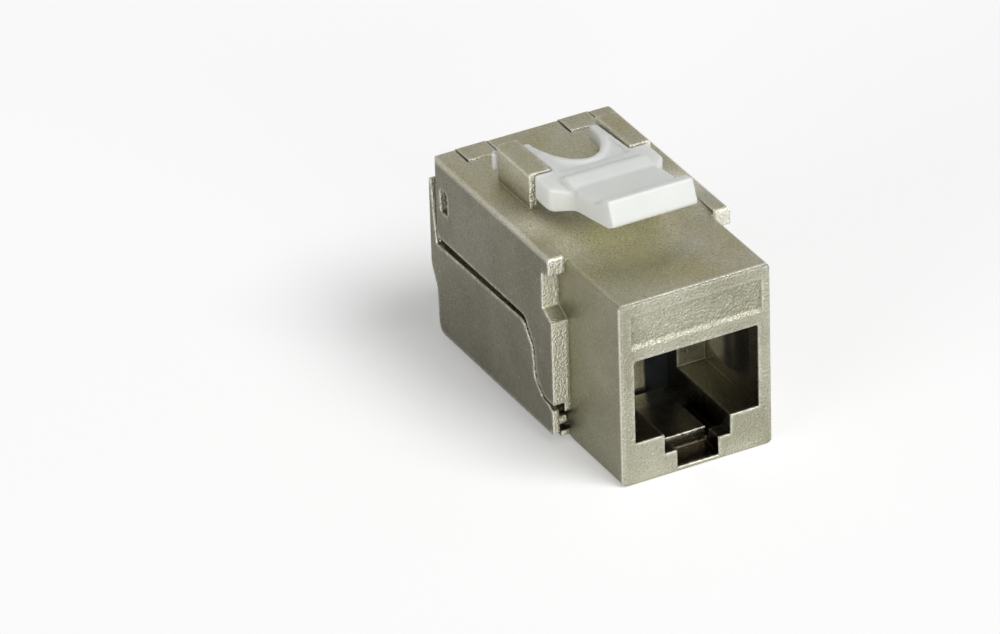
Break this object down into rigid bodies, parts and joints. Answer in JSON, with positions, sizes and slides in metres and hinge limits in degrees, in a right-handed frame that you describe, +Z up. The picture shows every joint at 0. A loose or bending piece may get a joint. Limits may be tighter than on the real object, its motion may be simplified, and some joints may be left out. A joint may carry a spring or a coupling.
{
  "type": "shielded keystone jack",
  "caption": "Shielded die-cast keystone module for a modular plug, with a hinged rear cover over the wire terminals and a white plastic snap latch on top.",
  "frame": {"origin": "bottom centre of the bounding box: middle of the width, middle of the depth, on the nose's underside", "axes": "+X to the right seen from the front, +Y from the plug face to the cable exit, +Z up"},
  "size_m": [0.0172, 0.0342, 0.0226],
  "materials": {
    "die_cast": "satin nickel plating over a fine-grained zinc casting",
    "latch_plastic": "satin white moulding",
    "carrier_plastic": "dark blue-black moulding",
    "board": "green solder mask",
    "block_plastic": "black moulding",
    "cap_plastic": "pale grey moulding",
    "contact_gold": "gold-plated phosphor bronze strip",
    "terminal_tin": "tin-plated bronze",
    "spring_steel": "bright nickel-plated strip"
  },
  "bodies": {
    "body": {"housing": "die_cast", "contact_carrier": "carrier_plastic", "circuit_board": "board", "idc_block": "block_plastic", "wire_cap": "cap_plastic", "contact_wire_1": "contact_gold", "contact_wire_2": "contact_gold", "contact_wire_3": "contact_gold", "contact_wire_4": "contact_gold", "contact_wire_5": "contact_gold", "contact_wire_6": "contact_gold", "contact_wire_7": "contact_gold", "contact_wire_8": "contact_gold", "idc_terminal_1": "terminal_tin", "idc_terminal_2": "terminal_tin", "idc_terminal_3": "terminal_tin", "idc_terminal_4": "terminal_tin", "idc_terminal_5": "terminal_tin", "idc_terminal_6": "terminal_tin", "idc_terminal_7": "terminal_tin", "idc_terminal_8": "terminal_tin", "ground_spring_right": "spring_steel", "ground_spring_left": "spring_steel"},
    "cover": {"rear_cover": "die_cast"},
    "latch": {"latch": "latch_plastic"}
  },
  "joints": [
    {"name": "cover_hinge", "type": "hinge", "parent": "body", "child": "cover", "pos_m": [0, -0.0071, 0.00175], "axis": [-1, 0, 0], "range_deg": [0, 90]},
    {"name": "latch_press", "type": "hinge", "parent": "body", "child": "latch", "pos_m": [0, 0.0064, 0.0193], "axis": [1, 0, 0], "range_deg": [0, 5], "stiffness_Nm_per_rad": 0.4}
  ]
}
